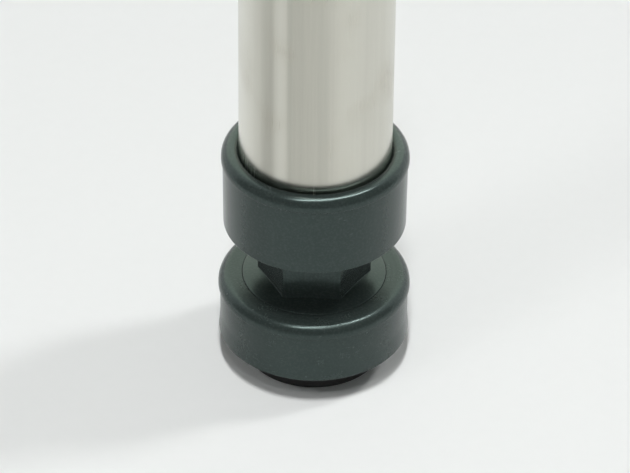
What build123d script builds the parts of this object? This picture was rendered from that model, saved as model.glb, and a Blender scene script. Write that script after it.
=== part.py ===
from build123d import *
import math
import os

# A plastic levelling foot on the end of a round stainless leg.
# The black insert closes the end of the leg tube, and the foot screws out of it.
# Millimetres, +Z up. The origin is the centre of the floor pad's underside,
# and the foot stands as it would on a bench, screwed out a little.

# Leg tube
leg_diameter = 41.3
leg_wall = 1.2
leg_length = 100.0

# Tube insert: the collar outside the leg
collar_height = 24.0
collar_foot_radius = 24.85
collar_shoulder_radius = 25.0
collar_bead_radius = 25.4
collar_edge_round = 0.4
collar_mouth_round = 0.5
socket_floor = 6.0

# Tube insert: the plug inside the leg
plug_height = 42.0
plug_radius = 17.6
plug_skin = 2.0
plug_rib_count = 12
plug_rib_width = 1.6
plug_rib_lead_in = 1.5
hub_wall = 3.2
hub_web_count = 6
hub_web_width = 2.0
pocket_floor = 6.0

# Rim shape shared by the collar and the base
rim_round = 3.0
bead_band = 0.6
bead_groove_height = 0.9
bead_groove_depth = 0.3

# Foot spindle
thread_diameter = 20.0
thread_pitch = 4.0
thread_depth = 2.1
thread_crest_width = 1.4
thread_root_width = 2.5
thread_relief = 1.2
stud_height = 50.0
stud_core_sink = 1.0
stud_end_chamfer = 1.6
hex_sides = 6
hex_across_flats = 27.0
hex_height = 12.0
hex_edge_round = 1.0
hex_top_slope = 30.0
hex_turn = -2.5
flange_radius = 19.75
flange_edge_height = 1.85
flange_edge_round = 0.25
flange_top_slope = 8.6
journal_radius = 8.0
snap_head_radius = 8.9
snap_head_land = 0.8
snap_head_cone = 2.6
snap_head_tip_radius = 7.4
snap_slot_count = 4
snap_slot_width = 2.4
snap_slot_depth = 8.0

# Foot base
base_height = 17.8
base_foot_radius = 26.15
base_wall_radius = 25.8
base_bead_radius = 26.3
base_flare_height = 5.5
base_edge_round = 0.3
base_top_slope = 1.5
base_web = 7.2

# Floor pad
pad_radius = 19.0
pad_height = 8.2
pad_edge_round = 0.45
pad_plug_radius = 17.0
pad_plug_gap = 0.3
pad_cavity_radius = 10.0
pad_cavity_floor = 1.0

# How far the hexagon stands below the collar at rest
screwed_out = 4.8

# Clearances
socket_clearance = 0.6
rib_clearance = 0.1
thread_clearance = 0.15
journal_clearance = 0.1
flange_clearance = 0.3
snap_clearance = 0.2
pad_clearance = 0.05

# Radii worked out from the sizes above
leg_radius = leg_diameter / 2
leg_bore_radius = leg_radius - leg_wall
thread_radius = thread_diameter / 2
thread_root_radius = thread_radius - thread_depth
thread_bore_radius = thread_radius + thread_clearance
hub_radius = thread_bore_radius + hub_wall
hex_corner_radius = hex_across_flats / 2 / math.cos(math.pi / hex_sides)
recess_radius = flange_radius + flange_clearance

# Heights worked out from the sizes above, from the floor up
base_bottom = pad_height
base_top = base_bottom + base_height
base_top_width = base_bead_radius - rim_round - recess_radius
base_recess_rise = base_top_width * math.tan(math.radians(base_top_slope))
flange_bottom = base_top + base_recess_rise - flange_edge_height + flange_edge_round
flange_edge_top = flange_bottom + flange_edge_height
flange_crown_radius = hex_across_flats / 2
flange_crown = flange_edge_top + (
    (flange_radius - flange_crown_radius) * math.tan(math.radians(flange_top_slope))
)
hex_top = flange_crown + hex_height
collar_bottom = hex_top + screwed_out
collar_top = collar_bottom + collar_height
leg_bottom = collar_bottom + socket_floor
plug_top = leg_bottom + plug_height
stud_top = hex_top + stud_height
web_bottom = flange_bottom - base_web
pad_plug_top = web_bottom - pad_plug_gap
snap_shoulder = web_bottom - snap_clearance
snap_tip = snap_shoulder - snap_head_land - snap_head_cone


def turned(outline):
    """A solid turned about +Z from a closed outline of edges in the XZ plane."""
    section = make_face(outline.edges())
    return revolve(section, axis=Axis.Z, revolution_arc=360)


def rim_outline(foot_radius, foot_z, flare, shoulder_radius, bead_radius, top_z):
    """The outside of a moulded ring, from its foot up: wall, groove, bead and rounded rim.

    Returns the edges and the point where the round meets the top face.
    """
    bead_top = top_z - rim_round
    bead_bottom = bead_top - bead_band
    wall_top = bead_bottom - bead_groove_height
    groove_radius = shoulder_radius - bead_groove_depth
    points = [(foot_radius, foot_z)]
    if flare > 0:
        points.append((shoulder_radius, foot_z + flare))
    points.append((shoulder_radius, wall_top))
    points.append((groove_radius, wall_top + bead_groove_depth))
    points.append((groove_radius, bead_bottom))
    points.append((bead_radius, bead_bottom))
    points.append((bead_radius, bead_top))
    edges = [
        Line((a[0], 0, a[1]), (b[0], 0, b[1]))
        for a, b in zip(points, points[1:])
    ]
    diagonal = rim_round * math.sin(math.radians(45))
    edges.append(
        ThreePointArc(
            (bead_radius, 0, bead_top),
            (bead_radius - rim_round + diagonal, 0, bead_top + diagonal),
            (bead_radius - rim_round, 0, top_z),
        )
    )
    return edges, (bead_radius - rim_round, top_z)


def joined(edges, start, points):
    """The edges, then straight runs from start through points and back to the first edge."""
    first = edges[0] @ 0
    corners = [start] + points + [(first.X, first.Z)]
    runs = [
        Line((a[0], 0, a[1]), (b[0], 0, b[1]))
        for a, b in zip(corners, corners[1:])
    ]
    return Wire(edges + runs)


def rounded(outline, corner, radius):
    """The outline with its corner at a (radius, height) point rounded."""
    vertex = outline.vertices().sort_by_distance((corner[0], 0, corner[1]))[0]
    return outline.fillet_2d(radius, [vertex])


def straight(points):
    """A closed outline of straight runs through (radius, height) points."""
    return Polyline(*[(r, 0, z) for r, z in points], close=True)


def outer_foot_edge(body):
    """The widest circle on a turned body's lowest level."""
    circles = body.edges().filter_by(GeomType.CIRCLE)
    return circles.group_by(Axis.Z)[0].sort_by(SortBy.RADIUS)[-1]


def make_leg_tube():
    """The end of the stainless leg: plain round tube, cut square at both ends."""
    wall = Circle(leg_radius) - Circle(leg_bore_radius)
    return extrude(Plane.XY.offset(leg_bottom) * wall, leg_length)


def make_tube_insert():
    """One moulding: collar outside the leg, ribbed plug inside it, bore for the stud."""
    socket_outer = leg_radius + socket_clearance
    rib_reach = leg_bore_radius - rib_clearance
    edges, rim_end = rim_outline(
        collar_foot_radius, collar_bottom, 0,
        collar_shoulder_radius, collar_bead_radius, collar_top,
    )
    outline = joined(edges, rim_end, [
        (socket_outer, collar_top),
        (socket_outer, leg_bottom),
        (plug_radius, leg_bottom),
        (plug_radius, plug_top - plug_rib_lead_in),
        (plug_radius - plug_rib_lead_in / 2, plug_top),
        (thread_bore_radius, plug_top),
        (thread_bore_radius, collar_bottom),
    ])
    outline = rounded(outline, (socket_outer, collar_top), collar_mouth_round)
    body = turned(outline)

    rib_outline = straight([
        (plug_radius - plug_skin / 2, leg_bottom),
        (rib_reach, leg_bottom),
        (rib_reach, plug_top - 2 * plug_rib_lead_in),
        (plug_radius - plug_skin / 2, plug_top - plug_rib_lead_in / 2),
    ])
    rib = extrude(make_face(rib_outline.edges()), plug_rib_width / 2, both=True)
    for i in range(plug_rib_count):
        body += Rot(0, 0, 360 / plug_rib_count * i) * rib

    pocket_height = plug_height - pocket_floor
    ring = Circle(plug_radius - plug_skin) - Circle(hub_radius)
    pockets = extrude(Plane.XY.offset(leg_bottom + pocket_floor) * ring, pocket_height)
    web = Pos(plug_radius / 2, 0, leg_bottom + plug_height / 2) * Box(
        plug_radius, hub_web_width, plug_height
    )
    for i in range(hub_web_count):
        pockets -= Rot(0, 0, 360 / hub_web_count * (i + 0.5)) * web
    body -= pockets

    return fillet(outer_foot_edge(body), collar_edge_round)


def make_thread():
    """The coarse right-hand thread of the stud, cut square at both ends."""
    start = hex_top + thread_relief
    top = stud_top - stud_end_chamfer
    sink = thread_depth / 4
    helix = Pos(0, 0, start - thread_pitch) * Helix(
        thread_pitch, top - start + 2 * thread_pitch, thread_root_radius - sink
    )
    place = Plane(origin=helix @ 0, x_dir=(1, 0, 0), z_dir=helix % 0)
    half_root = thread_root_width / 2
    half_crest = thread_crest_width / 2
    reach = thread_depth + sink
    tooth = Polyline(
        (0, -half_root), (reach, -half_crest), (reach, half_crest), (0, half_root),
        close=True,
    )
    section = place * make_face(tooth)
    ridge = sweep(section, path=helix, is_frenet=True)
    band = Pos(0, 0, (start + top) / 2) * Cylinder(thread_radius + thread_depth, top - start)
    return ridge & band


def make_foot_spindle():
    """One moulding: flanged hexagon, threaded stud above it, snap-in journal below it."""
    body = turned(straight([
        (0, snap_tip),
        (snap_head_tip_radius, snap_tip),
        (snap_head_radius, snap_shoulder - snap_head_land),
        (snap_head_radius, snap_shoulder),
        (journal_radius, snap_shoulder),
        (journal_radius, flange_bottom),
        (flange_radius, flange_bottom),
        (flange_radius, flange_edge_top - flange_edge_round),
        (flange_radius - flange_edge_round, flange_edge_top),
        (flange_crown_radius, flange_crown),
        (0, flange_crown),
    ]))

    slot = Pos(snap_head_radius, 0, snap_tip + snap_slot_depth / 2) * Box(
        2 * snap_head_radius, snap_slot_width, snap_slot_depth
    )
    for i in range(snap_slot_count):
        body -= Rot(0, 0, 360 / snap_slot_count * i) * slot

    corners = [
        Vector(hex_corner_radius, 0).rotate(Axis.Z, 360 / hex_sides * i)
        for i in range(hex_sides)
    ]
    hex_section = make_face(Polyline(*corners, close=True))
    hex_section = fillet(hex_section.vertices(), hex_edge_round)
    hex_foot = flange_edge_top
    hexagon = extrude(Plane.XY.offset(hex_foot) * hex_section, hex_top - hex_foot)
    chamfer_radius = hex_across_flats / 2
    chamfer_drop = (hex_corner_radius - chamfer_radius) * math.tan(math.radians(hex_top_slope))
    hexagon &= turned(straight([
        (0, hex_foot),
        (hex_corner_radius, hex_foot),
        (hex_corner_radius, hex_top - chamfer_drop),
        (chamfer_radius, hex_top),
        (0, hex_top),
    ]))
    body += Rot(0, 0, hex_turn) * hexagon

    body += turned(straight([
        (0, hex_top - stud_core_sink),
        (thread_root_radius, hex_top - stud_core_sink),
        (thread_root_radius, stud_top - stud_end_chamfer),
        (thread_root_radius - stud_end_chamfer, stud_top),
        (0, stud_top),
    ]))
    body += make_thread()
    return body


def make_foot_base():
    """The moulded disc: outer wall with a bead, recess for the flange, bore, pad recess."""
    bore_radius = journal_radius + journal_clearance
    edges, rim_end = rim_outline(
        base_foot_radius, base_bottom, base_flare_height,
        base_wall_radius, base_bead_radius, base_top,
    )
    outline = joined(edges, rim_end, [
        (recess_radius, base_top + base_recess_rise),
        (recess_radius, flange_bottom),
        (bore_radius, flange_bottom),
        (bore_radius, web_bottom),
        (pad_plug_radius, web_bottom),
        (pad_plug_radius, base_bottom),
    ])
    body = turned(outline)
    return fillet(outer_foot_edge(body), base_edge_round)


def make_floor_pad():
    """The rubber pad: a thick disc with a plug that is pressed up into the base."""
    plug_fit = pad_plug_radius - pad_clearance
    body = turned(straight([
        (0, 0),
        (pad_radius, 0),
        (pad_radius, pad_height),
        (plug_fit, pad_height),
        (plug_fit, pad_plug_top),
        (pad_cavity_radius, pad_plug_top),
        (pad_cavity_radius, snap_tip - pad_cavity_floor),
        (0, snap_tip - pad_cavity_floor),
    ]))
    return fillet(outer_foot_edge(body), pad_edge_round)


nodes = {
    "leg_tube": make_leg_tube(),
    "tube_insert": make_tube_insert(),
    "foot_spindle": make_foot_spindle(),
    "foot_base": make_foot_base(),
    "floor_pad": make_floor_pad(),
}

os.makedirs("parts", exist_ok=True)
for name, shape in nodes.items():
    export_step(shape, os.path.join("parts", name + ".step"))
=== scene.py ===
import math

import bmesh
import bpy
from mathutils import Matrix, Vector
from mathutils.geometry import tessellate_polygon


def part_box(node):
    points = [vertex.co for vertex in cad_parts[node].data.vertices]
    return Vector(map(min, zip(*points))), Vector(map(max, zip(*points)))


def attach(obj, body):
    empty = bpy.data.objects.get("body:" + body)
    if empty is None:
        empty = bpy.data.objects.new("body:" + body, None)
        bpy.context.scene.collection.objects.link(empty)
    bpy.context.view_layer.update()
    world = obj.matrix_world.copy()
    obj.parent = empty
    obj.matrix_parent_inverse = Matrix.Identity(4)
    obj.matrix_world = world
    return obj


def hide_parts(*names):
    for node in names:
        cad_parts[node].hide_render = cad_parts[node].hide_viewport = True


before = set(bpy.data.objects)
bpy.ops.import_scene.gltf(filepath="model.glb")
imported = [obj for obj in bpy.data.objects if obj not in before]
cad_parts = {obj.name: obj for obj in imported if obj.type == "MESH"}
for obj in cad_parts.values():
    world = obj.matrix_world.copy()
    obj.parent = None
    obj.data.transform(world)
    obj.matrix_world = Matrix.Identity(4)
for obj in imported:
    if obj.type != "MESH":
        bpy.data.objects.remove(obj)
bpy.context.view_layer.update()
scene = bpy.context.scene


# Floor pad.
# A thick disc of black rubber with a plug on top, moulded in one piece.
# The plug is pressed up into the base, and the disc takes the load to the floor.

# The pieces' sizes are in millimetres, and MM turns them into metres where they reach a mesh.
MM = 0.001
RING_STEPS = 288
ROUND_STEP = math.radians(12)
SUPPORT = 0.12
LONG_RUN = 8 * SUPPORT
MERGE_GAP = 0.0001
SHARP_EDGE = math.radians(38)

PAD_RADIUS = 19.0
PAD_EDGE_ROUND = 0.45
PAD_LIP_ROUND = 0.15
PAD_PLUG_RADIUS = 16.95
PAD_CAVITY_RADIUS = 10.0
PAD_CAVITY_FLOOR = 1.0

RUBBER_BLACK = (0.012, 0.012, 0.012, 1)
RUBBER_WORN = (0.09, 0.088, 0.084, 1)


def foot_of(node):
    """The height of a CAD node's lowest point, in millimetres."""
    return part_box(node)[0].z / MM


def top_of(node):
    """The height of a CAD node's highest point, in millimetres."""
    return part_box(node)[1].z / MM


def eased(corners, closed=True):
    """An outline in radius and height, with each corner that has a third number rounded by it.

    Long straight runs get a point just inside each end, which keeps their shading flat.
    """
    count = len(corners)
    points = []
    for i, corner in enumerate(corners):
        here = Vector(corner[:2])
        round_size = corner[2] if len(corner) > 2 else 0
        if not round_size:
            points.append(here)
            continue
        back = Vector(corners[(i - 1) % count][:2]) - here
        on = Vector(corners[(i + 1) % count][:2]) - here
        opening = back.angle(on)
        reach = round_size / math.tan(opening / 2)
        middle = here + (back.normalized() + on.normalized()).normalized() * (
            round_size / math.sin(opening / 2)
        )
        start = here + back.normalized() * reach - middle
        turn = start.angle_signed(here + on.normalized() * reach - middle)
        steps = max(2, math.ceil(abs(turn) / ROUND_STEP))
        for k in range(steps + 1):
            points.append(middle + Matrix.Rotation(-turn * k / steps, 2) @ start)
    ends = zip(points, points[1:] + points[:1]) if closed else zip(points, points[1:])
    outline = []
    for a, b in ends:
        outline.append(a)
        if (b - a).length > LONG_RUN:
            step = (b - a).normalized() * SUPPORT
            outline += [a + step, b - step]
    if not closed:
        outline.append(points[-1])
    return outline


def at(angle, radius, height):
    """A point round the Z axis."""
    return Vector((radius * math.cos(angle), radius * math.sin(angle), height))


def ring(radius, height, start=0.0):
    """A circle of points about the Z axis, clockwise from above, or the one point where it closes up."""
    if not radius:
        return [Vector((0, 0, height))]
    return [at(start - 2 * math.pi * i / RING_STEPS, radius, height) for i in range(RING_STEPS)]


def skin(bm, rings, closed=False):
    """Faces between each ring of points and the next, in millimetres. Returns their corners."""
    rows = [[bm.verts.new(point * MM) for point in row] for row in rings]
    for low, high in zip(rows, rows[1:] + rows[:1] if closed else rows[1:]):
        count = max(len(low), len(high))
        if count == 1:
            continue
        for i in range(count):
            j = (i + 1) % count
            face = [low[i % len(low)], low[j % len(low)], high[j % len(high)], high[i % len(high)]]
            bm.faces.new(list(dict.fromkeys(face)))
    return rows


def finished(name, bm, body, slot, *nodes):
    """Turns the faces into a smooth piece that moves with a body and stands for CAD nodes."""
    bmesh.ops.remove_doubles(bm, verts=bm.verts, dist=MERGE_GAP * MM)
    bmesh.ops.recalc_face_normals(bm, faces=bm.faces)
    mesh = bpy.data.meshes.new(name)
    bm.to_mesh(mesh)
    bm.free()
    mesh.shade_smooth()
    mesh.set_sharp_from_angle(angle=SHARP_EDGE)
    piece = bpy.data.objects.new(name, mesh)
    scene.collection.objects.link(piece)
    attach(piece, body)
    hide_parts(*nodes)
    return piece


def turned_rings(corners, closed=True, start=0.0):
    """The circles that an outline's points make when it is turned about the Z axis."""
    return [ring(point.x, point.y, start) for point in eased(corners, closed)]


def turned(bm, corners, closed=True):
    """Faces of an outline turned about the Z axis."""
    skin(bm, turned_rings(corners, closed), closed)


def add(tree, kind, inputs=(), **settings):
    """A node with its settings, and its inputs set to values or fed from other nodes' outputs."""
    made = tree.nodes.new(kind)
    for key, value in settings.items():
        setattr(made, key, value)
    for key, value in dict(inputs).items():
        if isinstance(value, bpy.types.NodeSocket):
            tree.links.new(value, made.inputs[key])
        else:
            made.inputs[key].default_value = value
    return made


def maths(tree, operation, a, b=0.0):
    """The result of one sum on numbers or sockets."""
    return add(tree, "ShaderNodeMath", {0: a, 1: b}, operation=operation).outputs[0]


def spread(tree, value, low, high, to_low=0.0, to_high=1.0):
    """A value eased from the range low to high into another range."""
    inputs = {"Value": value, "From Min": low, "From Max": high, "To Min": to_low, "To Max": to_high}
    kind = "ShaderNodeMapRange"
    return add(tree, kind, inputs, interpolation_type="SMOOTHSTEP").outputs["Result"]


def blended(tree, factor, a, b):
    """Colour a where the factor is 0, and colour b where it is 1."""
    mix = tree.nodes.new("ShaderNodeMix")
    mix.data_type = "RGBA"
    for key, value in (("Factor_Float", factor), ("A_Color", a), ("B_Color", b)):
        socket = next(s for s in mix.inputs if s.identifier == key)
        if isinstance(value, bpy.types.NodeSocket):
            tree.links.new(value, socket)
        else:
            socket.default_value = value
    return next(s for s in mix.outputs if s.identifier == "Result_Color")


def noise(tree, places, scale, detail=2.0, rough=0.5):
    """Soft random patches; scale is how many there are to a millimetre."""
    inputs = {"Vector": places, "Scale": scale, "Detail": detail, "Roughness": rough}
    return add(tree, "ShaderNodeTexNoise", inputs).outputs["Fac"]


def in_millimetres(tree, stretch=(1, 1, 1)):
    """Places on the piece itself in millimetres, stretched along each axis."""
    coords = add(tree, "ShaderNodeTexCoord").outputs["Object"]
    scale = [s / MM for s in stretch]
    return add(tree, "ShaderNodeMapping", {"Vector": coords, "Scale": scale}).outputs["Vector"]


def new_group(name, inputs, outputs):
    """An empty shader group with named sockets, and its inlet and outlet."""
    tree = bpy.data.node_groups.new(name, "ShaderNodeTree")
    for way, sockets in (("INPUT", inputs), ("OUTPUT", outputs)):
        for label, kind in sockets:
            tree.interface.new_socket(label, in_out=way, socket_type="NodeSocket" + kind)
    return tree, tree.nodes.new("NodeGroupInput").outputs, tree.nodes.new("NodeGroupOutput").inputs


# The marks of the moulded skin: how many there are to a millimetre, and what each of them changes.
WAVES_PER_MM = 0.45
PATCHES_PER_MM = 0.11
MOTTLE_PER_MM = 1.5
SCUFFS_PER_MM = 0.8
SCUFF_STRETCH = (0.35, 0.35, 2.6)
SCUFF_TINT = 0.5
SCUFF_ROUGHNESS = 0.25
SCUFF_DEPTH = 0.002
SPECKS_PER_MM = 0.55
SPECK_SIZE = 0.16
BARE_SHARE = 0.72
SPECK_TINT = 0.6
SPECK_ROUGHNESS = 0.3
FILM_TINT = 0.05
RING_WAVE = 5.0


def build_moulded_skin():
    """What a moulded surface shows close to: grain, waves, the mould's turned rings, scuffs, dust."""
    tree, given, out = new_group(
        "moulded skin",
        [("Colour", "Color"), ("Scuff Colour", "Color"), ("Grain Per mm", "Float"),
         ("Roughness", "Float"), ("Roughness Spread", "Float"), ("Scuffs", "Float"),
         ("Dust", "Float"), ("Grain Depth", "Float"), ("Wave Depth", "Float"),
         ("Ring Depth", "Float"), ("Mottle", "Float")],
        [("Colour", "Color"), ("Roughness", "Float"), ("Height", "Float")],
    )
    places = in_millimetres(tree)
    grain = noise(tree, places, given["Grain Per mm"], 3.0, 0.6)
    wave = noise(tree, places, WAVES_PER_MM, 1.5)
    patches = noise(tree, places, PATCHES_PER_MM, 3.0, 0.6)

    # Scuffs run round the piece, here and there.
    rubbed = noise(tree, in_millimetres(tree, SCUFF_STRETCH), SCUFFS_PER_MM, 4.0, 0.7)
    scuff = maths(tree, "MULTIPLY", spread(tree, rubbed, 0.6, 0.72), spread(tree, patches, 0.45, 0.6))
    scuff = maths(tree, "MULTIPLY", scuff, given["Scuffs"])

    # Dust is a few specks, each in a cell of its own, and a thin film in patches.
    cells = add(tree, "ShaderNodeTexVoronoi", {"Vector": places, "Scale": SPECKS_PER_MM})
    chance = add(tree, "ShaderNodeSeparateColor", {"Color": cells.outputs["Color"]}).outputs[0]
    size = maths(tree, "MULTIPLY", spread(tree, chance, BARE_SHARE, 1.0), SPECK_SIZE)
    speck = maths(tree, "LESS_THAN", cells.outputs["Distance"], size)
    speck = maths(tree, "MULTIPLY", speck, given["Dust"])
    film = maths(tree, "MULTIPLY", spread(tree, patches, 0.3, 0.8), given["Dust"])

    # The colour turns towards the scuffed one by scuffs, dust and a fine mottle.
    lighter = maths(tree, "MULTIPLY", scuff, SCUFF_TINT)
    lighter = maths(tree, "ADD", lighter, maths(tree, "MULTIPLY", film, FILM_TINT))
    mottle = spread(tree, noise(tree, places, MOTTLE_PER_MM, 2.0, 0.6), 0.42, 0.7)
    lighter = maths(tree, "ADD", lighter, maths(tree, "MULTIPLY", mottle, given["Mottle"]))
    lighter = maths(tree, "MAXIMUM", lighter, maths(tree, "MULTIPLY", speck, SPECK_TINT))
    tree.links.new(blended(tree, lighter, given["Colour"], given["Scuff Colour"]), out["Colour"])

    # The gloss varies with grain and patches, and scuffs and dust are duller.
    uneven = maths(tree, "SUBTRACT", maths(tree, "ADD", patches, maths(tree, "MULTIPLY", grain, 0.5)), 0.75)
    rough = maths(tree, "MULTIPLY", uneven, given["Roughness Spread"])
    rough = maths(tree, "ADD", given["Roughness"], rough)
    rough = maths(tree, "ADD", rough, maths(tree, "MULTIPLY", scuff, SCUFF_ROUGHNESS))
    rough = maths(tree, "ADD", rough, maths(tree, "MULTIPLY", speck, SPECK_ROUGHNESS))
    tree.links.new(rough, out["Roughness"])

    # The height holds the grain, the waves, the scuffs and what is left of the mould's turning.
    height = maths(tree, "MULTIPLY", grain, given["Grain Depth"])
    height = maths(tree, "ADD", height, maths(tree, "MULTIPLY", wave, given["Wave Depth"]))
    height = maths(tree, "SUBTRACT", height, maths(tree, "MULTIPLY", scuff, SCUFF_DEPTH))
    flat = in_millimetres(tree, (1, 1, 0))
    radius = add(tree, "ShaderNodeVectorMath", {0: flat}, operation="LENGTH").outputs["Value"]
    rings = maths(tree, "SINE", maths(tree, "MULTIPLY", radius, RING_WAVE))
    rings = maths(tree, "MULTIPLY", rings, spread(tree, patches, 0.3, 0.7))
    height = maths(tree, "ADD", height, maths(tree, "MULTIPLY", rings, given["Ring Depth"]))
    tree.links.new(height, out["Height"])
    return tree


def surfaced(piece, name, skin_values, shader_values):
    """Gives a piece a moulded material: the shared skin with its own values, and its own shader."""
    material = bpy.data.materials.new(name)
    material.use_nodes = True
    tree = material.node_tree
    shader = tree.nodes["Principled BSDF"]
    for key, value in shader_values.items():
        shader.inputs[key].default_value = value
    surface = add(tree, "ShaderNodeGroup", node_tree=moulded_skin)
    for key, value in skin_values.items():
        surface.inputs[key].default_value = value
    bump = add(tree, "ShaderNodeBump", {"Height": surface.outputs["Height"], "Distance": MM})
    tree.links.new(surface.outputs["Colour"], shader.inputs["Base Color"])
    tree.links.new(surface.outputs["Roughness"], shader.inputs["Roughness"])
    tree.links.new(bump.outputs["Normal"], shader.inputs["Normal"])
    piece.data.materials.append(material)


moulded_skin = build_moulded_skin()

pad_height = foot_of("foot_base")
pad_plug_top = top_of("floor_pad")
cavity_floor = foot_of("foot_spindle") - PAD_CAVITY_FLOOR
bm = bmesh.new()
turned(bm, [
    (0, 0),
    (PAD_RADIUS, 0, PAD_EDGE_ROUND),
    (PAD_RADIUS, pad_height, PAD_LIP_ROUND),
    (PAD_PLUG_RADIUS, pad_height),
    (PAD_PLUG_RADIUS, pad_plug_top),
    (PAD_CAVITY_RADIUS, pad_plug_top),
    (PAD_CAVITY_RADIUS, cavity_floor),
    (0, cavity_floor),
], closed=False)
rubber_pad = finished("rubber_pad", bm, "base", "black_rubber", "floor_pad")
surfaced(rubber_pad, "black rubber", {
    "Colour": RUBBER_BLACK,
    "Scuff Colour": RUBBER_WORN,
    "Grain Per mm": 3.0,
    "Roughness": 0.68,
    "Roughness Spread": 0.25,
    "Scuffs": 0.7,
    "Dust": 0.5,
    "Grain Depth": 0.012,
    "Wave Depth": 0.01,
    "Mottle": 0.08,
}, {"IOR": 1.5})


# Foot base.
# The disc that stands on the pad, moulded in black nylon with a soft gloss.
# Its round rim stands a little proud of the wall, and the spindle turns in its recess.

RIM_ROUND = 3.0
BEAD_BAND = 0.6
BEAD_EDGE_ROUND = 0.15
BEAD_UNDERCUT = 0.4

BASE_FOOT_RADIUS = 26.15
BASE_WALL_RADIUS = 25.8
BASE_BEAD_RADIUS = 26.3
BASE_FLARE = 5.5
BASE_FLARE_ROUND = 20.0
BASE_EDGE_ROUND = 0.3
BASE_TOP_SLOPE = math.radians(1.5)
BASE_WEB = 7.2
PAD_CLEARANCE = 0.05
PAD_RECESS_RADIUS = PAD_PLUG_RADIUS + PAD_CLEARANCE
JOURNAL_BORE = 8.1
FLANGE_RADIUS = 19.75
FLANGE_CLEARANCE = 0.04
FLANGE_EDGE_HEIGHT = 1.85
FLANGE_PROUD = 0.25
RECESS_RADIUS = FLANGE_RADIUS + FLANGE_CLEARANCE
RECESS_EDGE_ROUND = 0.1

NYLON_BLACK = (0.022, 0.030, 0.028, 1)
NYLON_WORN = (0.10, 0.115, 0.108, 1)
NYLON_SHINE = {"IOR": 1.49, "Specular Tint": (0.76, 1, 0.95, 1)}


def bead(wall_radius, bead_radius, top):
    """Corners of the wall's top, the proud bead and the rounded rim, from the wall up."""
    bead_bottom = top - RIM_ROUND - BEAD_BAND
    return [
        (wall_radius, bead_bottom - BEAD_UNDERCUT, BEAD_EDGE_ROUND),
        (bead_radius, bead_bottom, BEAD_EDGE_ROUND),
        (bead_radius, top, RIM_ROUND),
    ]


base_bottom = foot_of("foot_base")
recess_top = top_of("foot_base")
top_width = BASE_BEAD_RADIUS - RIM_ROUND - RECESS_RADIUS
base_top = recess_top - top_width * math.tan(BASE_TOP_SLOPE)
flange_bottom = recess_top - FLANGE_EDGE_HEIGHT + FLANGE_PROUD
web_bottom = flange_bottom - BASE_WEB
bm = bmesh.new()
turned(bm, [
    (PAD_RECESS_RADIUS, base_bottom, BASE_EDGE_ROUND),
    (BASE_FOOT_RADIUS, base_bottom, BASE_EDGE_ROUND),
    (BASE_WALL_RADIUS, base_bottom + BASE_FLARE, BASE_FLARE_ROUND),
    *bead(BASE_WALL_RADIUS, BASE_BEAD_RADIUS, base_top),
    (RECESS_RADIUS, recess_top, RECESS_EDGE_ROUND),
    (RECESS_RADIUS, flange_bottom),
    (JOURNAL_BORE, flange_bottom, BASE_EDGE_ROUND),
    (JOURNAL_BORE, web_bottom, BASE_EDGE_ROUND),
    (PAD_RECESS_RADIUS, web_bottom),
])
base_disc = finished("base_disc", bm, "base", "black_moulding", "foot_base")
NYLON_SKIN = {
    "Colour": NYLON_BLACK,
    "Scuff Colour": NYLON_WORN,
    "Grain Per mm": 2.2,
    "Roughness": 0.22,
    "Roughness Spread": 0.1,
    "Scuffs": 0.2,
    "Dust": 0.12,
    "Grain Depth": 0.005,
    "Wave Depth": 0.006,
    "Ring Depth": 0.003,
    "Mottle": 0.13,
}
surfaced(base_disc, "black nylon base", {
    **NYLON_SKIN,
    "Roughness": 0.26,
    "Grain Depth": 0.008,
    "Ring Depth": 0.016,
}, NYLON_SHINE)


# Foot spindle.
# One nylon moulding: a flange, a hexagon for a 27 mm spanner and a coarse threaded stud.
# Its journal snaps into the base, where it turns, and the stud screws into the leg's insert.

HEX_HALF_WIDTH = 13.5
HEX_HEIGHT = 12.0
HEX_CORNER_ROUND = 0.5
HEX_TURN = math.radians(-2.5)
HEX_TOP_SLOPE = math.radians(30)
HEX_FOOT_ROUND = 0.15
FLANGE_EDGE_ROUND = 0.3
FLANGE_SLOPE = math.radians(8.6)
JOURNAL_CLEARANCE = 0.1
JOURNAL_RADIUS = JOURNAL_BORE - JOURNAL_CLEARANCE
SNAP_RADIUS = 8.9
SNAP_TIP_RADIUS = 7.4
SNAP_CONE = 2.6
SNAP_CLEARANCE = 0.2
STUD_CHAMFER = 1.6
THREAD_RADIUS = 10.0
THREAD_ROOT = 7.9
THREAD_PITCH = 4.0
THREAD_RELIEF = 1.2
THREAD_CREST = 1.4
THREAD_FOOT = 2.5
THREAD_STEPS = 96
THREAD_SINK = 0.2
THREAD_EDGE_EASE = 0.15
THREAD_FLANK_EASE = 0.06
THREAD_FADE_TURNS = 0.2
STUD_FOOT_FLARE = 0.4
STUD_FOOT_ROUND = 0.3
SNAP_TIP_ROUND = 0.3
SMALL_ROUND = 0.2
ROUND_RINGS = 5
FLANGE_TOP_RINGS = (17.5, 16.2)
FLANGE_BAND = 0.1
HEX_FOOT_BAND = 1.0
HEX_TOP_EASE = ((0.03, 0.06), (0.12, 0.0))
HEX_TOP_BAND = 0.25

snap_tip = foot_of("foot_spindle")
stud_top = top_of("foot_spindle")
flange_edge_top = flange_bottom + FLANGE_EDGE_HEIGHT
flange_crown = flange_edge_top + (FLANGE_RADIUS - HEX_HALF_WIDTH) * math.tan(FLANGE_SLOPE)
hex_top = flange_crown + HEX_HEIGHT


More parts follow.
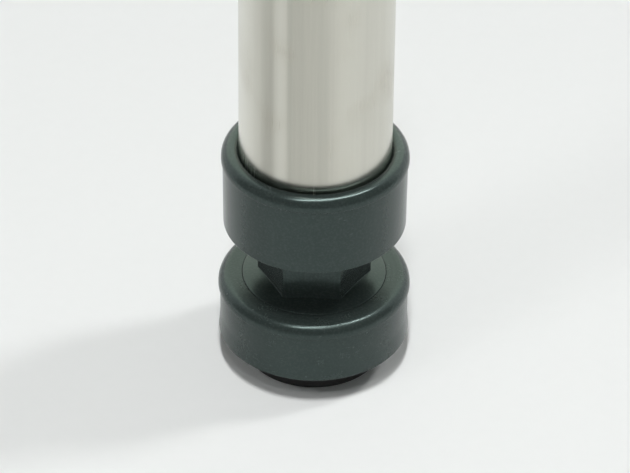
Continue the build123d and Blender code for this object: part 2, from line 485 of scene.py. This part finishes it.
def hex_outline(half_width, corner_round):
    """Points of a hexagon with rounded corners, as angle and radius, one ring's worth."""
    points = []
    for i in range(RING_STEPS):
        angle = 2 * math.pi * i / RING_STEPS
        off_corner = (angle + math.pi / 6) % (math.pi / 3) - math.pi / 6
        flat_radius = half_width / math.cos(math.pi / 6 - abs(off_corner))
        centre = (half_width - corner_round) / math.cos(math.pi / 6)
        across = centre * math.sin(abs(off_corner))
        if across < corner_round:
            radius = centre * math.cos(off_corner) + math.sqrt(corner_round**2 - across**2)
            radius = min(radius, flat_radius)
        else:
            radius = flat_radius
        points.append((angle + HEX_TURN, radius))
    return points


def flange_height(radius):
    """How high the flange's sloping top is at a radius."""
    return flange_crown - (radius - HEX_HALF_WIDTH) * math.tan(FLANGE_SLOPE)


def hexagon_rings():
    """Rings from the flange's rounded edge, in over its top and up the hexagon to its top face."""
    outline = hex_outline(HEX_HALF_WIDTH, HEX_CORNER_ROUND)
    angles = [angle for angle, radius in outline]
    rings = []
    for k in range(ROUND_RINGS + 1):
        turn = math.pi / 2 * k / ROUND_RINGS
        radius = FLANGE_RADIUS - FLANGE_EDGE_ROUND * (1 - math.cos(turn))
        height = flange_edge_top - FLANGE_EDGE_ROUND * (1 - math.sin(turn))
        rings.append([at(a, radius, height) for a in angles])
    for radius in (FLANGE_RADIUS - 2 * FLANGE_EDGE_ROUND, *FLANGE_TOP_RINGS):
        rings.append([at(a, radius, flange_height(radius)) for a in angles])
    for k in range(ROUND_RINGS + 1):
        turn = math.pi / 2 * k / ROUND_RINGS
        out = HEX_FOOT_ROUND * (1 - math.sin(turn))
        up = HEX_FOOT_ROUND * (1 - math.cos(turn))
        rings.append([at(a, r + out, flange_height(r + out) + up) for a, r in outline])
    rings.append([at(a, r, flange_crown + HEX_FOOT_BAND) for a, r in outline])
    chamfer = [hex_top - (r - HEX_HALF_WIDTH) * math.tan(HEX_TOP_SLOPE) for a, r in outline]
    rings.append([at(a, r, top - HEX_TOP_BAND) for (a, r), top in zip(outline, chamfer)])
    for inward, down in HEX_TOP_EASE:
        rings.append([at(a, r - inward, top - down) for (a, r), top in zip(outline, chamfer)])
    rings.append([at(a, HEX_HALF_WIDTH - HEX_TOP_BAND, hex_top) for a in angles])
    rings.append([at(a, THREAD_ROOT + STUD_FOOT_FLARE, hex_top) for a in angles])
    return rings


def thread_ridge(bm):
    """The ridge of the right-hand thread, fading into the stud at both ends."""
    low = hex_top + THREAD_RELIEF
    turns = (stud_top - STUD_CHAMFER - low - THREAD_FOOT) / THREAD_PITCH
    count = round(turns * THREAD_STEPS)
    fade = THREAD_STEPS * THREAD_FADE_TURNS
    half_foot = THREAD_FOOT / 2
    half_crest = THREAD_CREST / 2
    sunk_crest = THREAD_ROOT - THREAD_EDGE_EASE
    rows = []
    for i in range(count + 1):
        angle = 2 * math.pi * i / THREAD_STEPS
        height = low + half_foot + THREAD_PITCH * i / THREAD_STEPS
        full = min(1.0, i / fade, (count - i) / fade)
        full = math.sin(full * math.pi / 2)
        crest = sunk_crest + (THREAD_RADIUS - sunk_crest) * full
        lower_half = [
            (THREAD_ROOT - THREAD_SINK, -half_foot - THREAD_SINK / 2),
            (THREAD_ROOT, -half_foot),
            (crest - THREAD_SINK * full, -half_crest - THREAD_FLANK_EASE),
            (crest, -half_crest + THREAD_EDGE_EASE),
        ]
        section = lower_half + [(r, -z) for r, z in reversed(lower_half)]
        rows.append([at(angle, r, height + z) for r, z in section])
    made = skin(bm, rows)
    bm.faces.new(made[0])
    bm.faces.new(made[-1])


bm = bmesh.new()
stem = turned_rings([
    (0, snap_tip),
    (SNAP_TIP_RADIUS, snap_tip, SNAP_TIP_ROUND),
    (SNAP_RADIUS, snap_tip + SNAP_CONE, SMALL_ROUND),
    (SNAP_RADIUS, web_bottom - SNAP_CLEARANCE),
    (JOURNAL_RADIUS, web_bottom - SNAP_CLEARANCE),
    (JOURNAL_RADIUS, flange_bottom),
    (FLANGE_RADIUS, flange_bottom, SMALL_ROUND),
    (FLANGE_RADIUS, flange_edge_top - FLANGE_EDGE_ROUND - FLANGE_BAND),
], closed=False, start=HEX_TURN)
stud = turned_rings([
    (THREAD_ROOT + STUD_FOOT_FLARE, hex_top),
    (THREAD_ROOT, hex_top + STUD_FOOT_FLARE, STUD_FOOT_ROUND),
    (THREAD_ROOT, stud_top - STUD_CHAMFER, SMALL_ROUND),
    (THREAD_ROOT - STUD_CHAMFER, stud_top, SMALL_ROUND),
    (0, stud_top),
], closed=False, start=HEX_TURN)
skin(bm, stem + hexagon_rings() + stud)
bmesh.ops.remove_doubles(bm, verts=bm.verts, dist=MERGE_GAP * MM)
thread_ridge(bm)
spindle = finished("levelling_spindle", bm, "spindle", "black_moulding", "foot_spindle")
surfaced(spindle, "black nylon spindle", NYLON_SKIN, NYLON_SHINE)


# Tube insert.
# One nylon moulding: the collar closes round the leg's end, and the ribbed plug grips inside it.
# Six webs join the plug's skin to the hub that takes the stud.

LEG_RADIUS = 20.65
LEG_WALL = 1.2
COLLAR_HEIGHT = 24.0
COLLAR_FOOT_RADIUS = 24.85
COLLAR_SHOULDER_RADIUS = 25.0
COLLAR_BEAD_RADIUS = 25.4
COLLAR_EDGE_ROUND = 0.4
COLLAR_MOUTH_ROUND = 1.6
SOCKET_CLEARANCE = 0.02
SOCKET_RADIUS = LEG_RADIUS + SOCKET_CLEARANCE
THREAD_CLEARANCE = 0.15
BORE_RADIUS = THREAD_RADIUS + THREAD_CLEARANCE
PLUG_RADIUS = 17.6
PLUG_SKIN = 2.0
POCKET_FLOOR = 6.0
HUB_WALL = 3.2
HUB_RADIUS = BORE_RADIUS + HUB_WALL
WEB_COUNT = 6
WEB_HALF_WIDTH = 1.0
POCKET_STEPS = 14
RIB_COUNT = 12
RIB_TIP_POINTS = 5
RIB_HALF_WIDTH = 0.8
RIB_CLEARANCE = 0.1
RIB_REACH = LEG_RADIUS - LEG_WALL - RIB_CLEARANCE
RIB_LEAD_IN = 1.5
RIB_FADED = 0.01

leg_bottom = foot_of("leg_tube")
leg_top = top_of("leg_tube")
collar_bottom = foot_of("tube_insert")
collar_top = collar_bottom + COLLAR_HEIGHT
plug_top = top_of("tube_insert")


def rib_outline(radius, reach, height):
    """The plug's outline at one height: a circle with ribs standing out to a reach."""
    half_foot = math.asin(RIB_HALF_WIDTH / radius)
    half_tip = math.asin(RIB_HALF_WIDTH / reach)
    tip_step = 2 * half_tip / (RIB_TIP_POINTS - 1)
    plain = RING_STEPS // RIB_COUNT - RIB_TIP_POINTS
    plain_step = (2 * math.pi / RIB_COUNT - 2 * half_foot) / (plain - 1)
    points = []
    for i in range(RIB_COUNT):
        middle = 2 * math.pi * i / RIB_COUNT
        points += [at(middle - half_tip + tip_step * k, reach, height) for k in range(RIB_TIP_POINTS)]
        points += [at(middle + half_foot + plain_step * k, radius, height) for k in range(plain)]
    return points


def pocket_outline(index, height):
    """One pocket between two webs, at one height."""
    middle = 2 * math.pi * index / WEB_COUNT
    outer = PLUG_RADIUS - PLUG_SKIN
    half_out = math.pi / WEB_COUNT - math.asin(WEB_HALF_WIDTH / outer)
    half_in = math.pi / WEB_COUNT - math.asin(WEB_HALF_WIDTH / HUB_RADIUS)
    shares = [2 * k / POCKET_STEPS - 1 for k in range(POCKET_STEPS + 1)]
    out = [at(middle + half_out * share, outer, height) for share in shares]
    back = [at(middle - half_in * share, HUB_RADIUS, height) for share in shares]
    return out + back


def face_with_holes(bm, loops):
    """A flat face with its first loop as the outside and the rest as holes."""
    points = [point for loop in loops for point in loop]
    corners = [bm.verts.new(point * MM) for point in points]
    for triangle in tessellate_polygon(loops):
        bm.faces.new([corners[i] for i in triangle])


bm = bmesh.new()
turned(bm, [
    (BORE_RADIUS, plug_top),
    (BORE_RADIUS, collar_bottom, COLLAR_EDGE_ROUND),
    (COLLAR_FOOT_RADIUS, collar_bottom, COLLAR_EDGE_ROUND),
    *bead(COLLAR_SHOULDER_RADIUS, COLLAR_BEAD_RADIUS, collar_top),
    (SOCKET_RADIUS, collar_top, COLLAR_MOUTH_ROUND),
    (SOCKET_RADIUS, leg_bottom),
], closed=False)
foot_line = rib_outline(PLUG_RADIUS, RIB_REACH, leg_bottom)
face_with_holes(bm, [ring(SOCKET_RADIUS, leg_bottom), foot_line])
plug_tip = PLUG_RADIUS - RIB_LEAD_IN / 2
top_line = rib_outline(plug_tip, plug_tip + RIB_FADED, plug_top)
skin(bm, [
    foot_line,
    rib_outline(PLUG_RADIUS, RIB_REACH, plug_top - 2 * RIB_LEAD_IN),
    rib_outline(PLUG_RADIUS, PLUG_RADIUS + RIB_FADED, plug_top - RIB_LEAD_IN),
    top_line,
])
pockets = [pocket_outline(i, plug_top) for i in range(WEB_COUNT)]
face_with_holes(bm, [top_line, ring(BORE_RADIUS, plug_top)] + pockets)
for i, mouth in enumerate(pockets):
    floor_line = pocket_outline(i, leg_bottom + POCKET_FLOOR)
    skin(bm, [mouth, floor_line])
    face_with_holes(bm, [floor_line])
insert = finished("leg_insert", bm, "leg", "black_moulding", "tube_insert")
surfaced(insert, "black nylon insert", {**NYLON_SKIN, "Scuffs": 0.3}, NYLON_SHINE)


# Leg tube.
# The end of a welded stainless tube, 41.3 mm across, brushed along its length in lanes of random tone.
# Painted reflections make it lighter down its left edge, over its right half and in a streak left of
# centre.
# It is cut square and pressed down over the plug to the bottom of the collar's socket.

LEG_OUTER_ROUND = 0.15
LEG_INNER_ROUND = 0.12
STEEL_DARK = (0.46, 0.45, 0.4, 1)
STEEL_LIGHT = (0.59, 0.58, 0.515, 1)
STEEL_PAINTED_REFLECTION = (0.73, 0.72, 0.66, 1)
STEEL_TARNISHED = (0.46, 0.43, 0.36, 1)
TARNISH = 0.3
# Painted reflection: a lighter streak left of centre and lighter bands down the left edge and right half.
PAINTED_STREAK_PLACE = -9.3
PAINTED_STREAK_CORE = 0.4
PAINTED_STREAK_EDGE = 2.6
PAINTED_STREAK_STRENGTH = 0.45
PAINTED_LEFT_SHEEN_EDGES = (-20.0, -12.0)
PAINTED_RIGHT_SHEEN_EDGES = (-3.0, 15.0)
PAINTED_RIGHT_SHEEN_STRENGTH = 0.5
STEEL_ROUGHNESS = 0.2
STEEL_ROUGHNESS_SPREAD = 0.06
BRUSH_DEPTH = 0.003

bm = bmesh.new()
turned(bm, [
    (LEG_RADIUS - LEG_WALL, leg_bottom, LEG_INNER_ROUND),
    (LEG_RADIUS, leg_bottom, LEG_OUTER_ROUND),
    (LEG_RADIUS, leg_top, LEG_OUTER_ROUND),
    (LEG_RADIUS - LEG_WALL, leg_top, LEG_INNER_ROUND),
])
steel_leg = finished("steel_leg", bm, "leg", "stainless", "leg_tube")

steel = bpy.data.materials.new("brushed stainless")
steel.use_nodes = True
tree = steel.node_tree
shader = tree.nodes["Principled BSDF"]
shader.inputs["Metallic"].default_value = 1.0
shader.inputs["Anisotropic"].default_value = 0.3
fine = noise(tree, in_millimetres(tree, (1, 1, 0.006)), 7.0, 3.0, 0.7)
broad = noise(tree, in_millimetres(tree, (1, 1, 0.004)), 0.9, 3.0, 0.6)
lanes = noise(tree, in_millimetres(tree, (1, 1, 0.01)), 0.13, 1.0, 0.5)
cloud = noise(tree, in_millimetres(tree), 0.06, 1.5, 0.5)
streak = maths(tree, "ADD", maths(tree, "MULTIPLY", fine, 0.2), maths(tree, "MULTIPLY", broad, 0.2))
streak = maths(tree, "ADD", streak, maths(tree, "MULTIPLY", lanes, 0.6))
plain = blended(tree, spread(tree, streak, 0.35, 0.65), STEEL_DARK, STEEL_LIGHT)
# Painted reflection: the colour turns lighter by sideways place, in a streak and at the left and right
# sides, front and back alike.
sideways = add(tree, "ShaderNodeSeparateXYZ", {"Vector": in_millimetres(tree)}).outputs[0]
painted_streak = maths(tree, "ABSOLUTE", maths(tree, "SUBTRACT", sideways, PAINTED_STREAK_PLACE))
painted_streak = spread(tree, painted_streak, PAINTED_STREAK_CORE, PAINTED_STREAK_EDGE, PAINTED_STREAK_STRENGTH, 0.0)
painted_left_sheen = spread(tree, sideways, *PAINTED_LEFT_SHEEN_EDGES, 1.0, 0.0)
painted_right_sheen = spread(tree, sideways, *PAINTED_RIGHT_SHEEN_EDGES, 0.0, PAINTED_RIGHT_SHEEN_STRENGTH)
painted_sheen = maths(tree, "ADD", maths(tree, "ADD", painted_streak, painted_left_sheen), painted_right_sheen)
plain = blended(tree, painted_sheen, plain, STEEL_PAINTED_REFLECTION)
tarnish = maths(tree, "MULTIPLY", spread(tree, cloud, 0.5, 0.75), TARNISH)
colour = blended(tree, tarnish, plain, STEEL_TARNISHED)
tree.links.new(colour, shader.inputs["Base Color"])
rough = maths(tree, "MULTIPLY", maths(tree, "ADD", fine, cloud), STEEL_ROUGHNESS_SPREAD)
tree.links.new(maths(tree, "ADD", rough, STEEL_ROUGHNESS), shader.inputs["Roughness"])
bump = add(tree, "ShaderNodeBump", {"Height": fine, "Distance": BRUSH_DEPTH * MM})
tree.links.new(bump.outputs["Normal"], shader.inputs["Normal"])
brushing = add(tree, "ShaderNodeTangent", direction_type="RADIAL", axis="Z")
tree.links.new(brushing.outputs["Tangent"], shader.inputs["Tangent"])
steel_leg.data.materials.append(steel)


# Floor, room and light.
# A plain pale bench with the main light in front and overhead and two softer ones at the sides.
# A long ceiling light and a pale wall behind give the black plastic its bright lines and edges.

# The room is measured in metres, but the bench's fade in millimetres, as its material is.
BENCH_SIZE = 3.0
BENCH_FADE_START = 150.0
BENCH_FADE_END = 400.0
BENCH_DARK = (0.838, 0.855, 0.846, 1)
BENCH_LIGHT = (0.858, 0.874, 0.866, 1)
PALE = (0.88, 0.89, 0.885, 1)
ROOM_WALLS = (0.5, 0.505, 0.5, 1)
ROOM_CEILING = (0.08, 0.081, 0.08, 1)
ROOM_SHADE = (0.15, 0.152, 0.15, 1)
LAMP_DISTANCE = 2.4
LAMP_AIM = Vector((0, 0, 0.04))

half = BENCH_SIZE / 2
bench_corners = ((-half, -half), (half, -half), (half, half), (-half, half))
bm = bmesh.new()
bm.faces.new([bm.verts.new((x, y, 0)) for x, y in bench_corners])
mesh = bpy.data.meshes.new("bench_top")
bm.to_mesh(mesh)
bm.free()
bench = bpy.data.objects.new("bench_top", mesh)
scene.collection.objects.link(bench)
laminate = bpy.data.materials.new("pale laminate")
laminate.use_nodes = True
tree = laminate.node_tree
shader = tree.nodes["Principled BSDF"]
shader.inputs["Specular IOR Level"].default_value = 0.1
fleck = noise(tree, in_millimetres(tree), 0.25, 4.0, 0.6)
tone = blended(tree, fleck, BENCH_DARK, BENCH_LIGHT)
tree.links.new(tone, shader.inputs["Base Color"])
grain = noise(tree, in_millimetres(tree), 1.2, 3.0, 0.6)
tree.links.new(spread(tree, grain, 0.2, 0.8, 0.55, 0.7), shader.inputs["Roughness"])
away = add(tree, "ShaderNodeVectorMath", {0: in_millimetres(tree)}, operation="LENGTH").outputs["Value"]
fade = spread(tree, away, BENCH_FADE_START, BENCH_FADE_END)
fade = maths(tree, "MULTIPLY", fade, add(tree, "ShaderNodeLightPath").outputs["Is Camera Ray"])
backdrop = add(tree, "ShaderNodeEmission", {"Color": PALE}).outputs["Emission"]
faded = add(tree, "ShaderNodeMixShader", {0: fade, 1: shader.outputs["BSDF"], 2: backdrop})
tree.links.new(faded.outputs["Shader"], tree.nodes["Material Output"].inputs["Surface"])
mesh.materials.append(laminate)

world = bpy.data.worlds.new("room")
scene.world = world
world.use_nodes = True
tree = world.node_tree
sky = tree.nodes["Background"]
ways = add(tree, "ShaderNodeTexCoord").outputs["Generated"]
depth, rise = add(tree, "ShaderNodeSeparateXYZ", {"Vector": ways}).outputs[1:3]
behind = spread(tree, depth, 0.05, 0.45)
path = add(tree, "ShaderNodeLightPath").outputs
shown = maths(tree, "MAXIMUM", path["Is Glossy Ray"], path["Is Transmission Ray"])
room = blended(tree, spread(tree, rise, 0.15, 0.6), ROOM_WALLS, ROOM_CEILING)
reflection = blended(tree, behind, ROOM_SHADE, (1, 1, 1, 1))
around = blended(tree, shown, room, reflection)
tree.links.new(blended(tree, path["Is Camera Ray"], around, PALE), sky.inputs["Color"])


def lamp(name, azimuth, elevation, width, depth, radiance, twist=0, shape="ELLIPSE",
         tint=(1, 1, 1), lights=True, shines=True):
    """A soft lamp facing the foot; azimuth 0 is in front of it and 90 to its right.

    Its width lies left to right, its depth runs up, and twist turns it in its own plane.
    A lamp that lights but doesn't shine leaves no reflection, and one that only shines is the
    reflection alone.
    """
    data = bpy.data.lights.new(name, "AREA")
    data.shape = shape
    data.size = width
    data.size_y = depth
    share = math.pi / 4 if shape == "ELLIPSE" else 1.0
    data.energy = radiance * math.pi * share * width * depth
    data.color = tint
    made = bpy.data.objects.new(name, data)
    scene.collection.objects.link(made)
    turn, rise = math.radians(azimuth), math.radians(elevation)
    way = Vector((math.sin(turn) * math.cos(rise), -math.cos(turn) * math.cos(rise), math.sin(rise)))
    along = (Vector((1, 0, 0)) - way * way.x).normalized()
    facing = Matrix((along, way.cross(along), way)).transposed()
    facing = facing @ Matrix.Rotation(math.radians(twist), 3, "Z")
    made.matrix_world = Matrix.Translation(way * LAMP_DISTANCE + LAMP_AIM) @ facing.to_4x4()
    made.visible_camera = False
    made.visible_diffuse = lights
    made.visible_glossy = shines


lamp("front_key", azimuth=-2, elevation=76, width=0.16, depth=0.65, radiance=134.0, shines=False)
lamp("front_fill", azimuth=-4, elevation=57, width=0.16, depth=0.25, radiance=46.0, shines=False)
lamp("window_side", azimuth=110, elevation=46, width=0.36, depth=0.36, radiance=44.0, shines=False)
lamp("left_fill", azimuth=-52, elevation=45, width=0.5, depth=0.5, radiance=8.5, shines=False)
lamp("ceiling_strip", azimuth=82, elevation=82.8, width=2.2, depth=0.27, radiance=27.0, twist=33.4,
     shape="RECTANGLE", lights=False)
lamp("back_wall", azimuth=180, elevation=36, width=3.9, depth=2.1, radiance=0.7,
     tint=(0.95, 1.15, 0.85), lights=False)

scene.view_settings.view_transform = "Standard"


# Camera.
# It looks down on the front of the foot from a little over a metre away.

LENS = 235.2
FILM_WIDTH = 36.0
NEAR_LIMIT = 0.01
AIM = Vector((0.00014, 0, 0.0378))
DISTANCE = 1.123
ELEVATION = math.radians(37.01)
ROLL = math.radians(0.62)
camera_data = bpy.data.cameras.new("camera")
camera_data.lens = LENS
camera_data.sensor_width = FILM_WIDTH
camera_data.clip_start = NEAR_LIMIT
camera = bpy.data.objects.new("camera", camera_data)
scene.collection.objects.link(camera)
back = Vector((0, -math.cos(ELEVATION), math.sin(ELEVATION)))
facing = back.to_track_quat("Z", "Y").to_matrix() @ Matrix.Rotation(ROLL, 3, "Z")
camera.matrix_world = Matrix.Translation(AIM + back * DISTANCE) @ facing.to_4x4()
scene.camera = camera
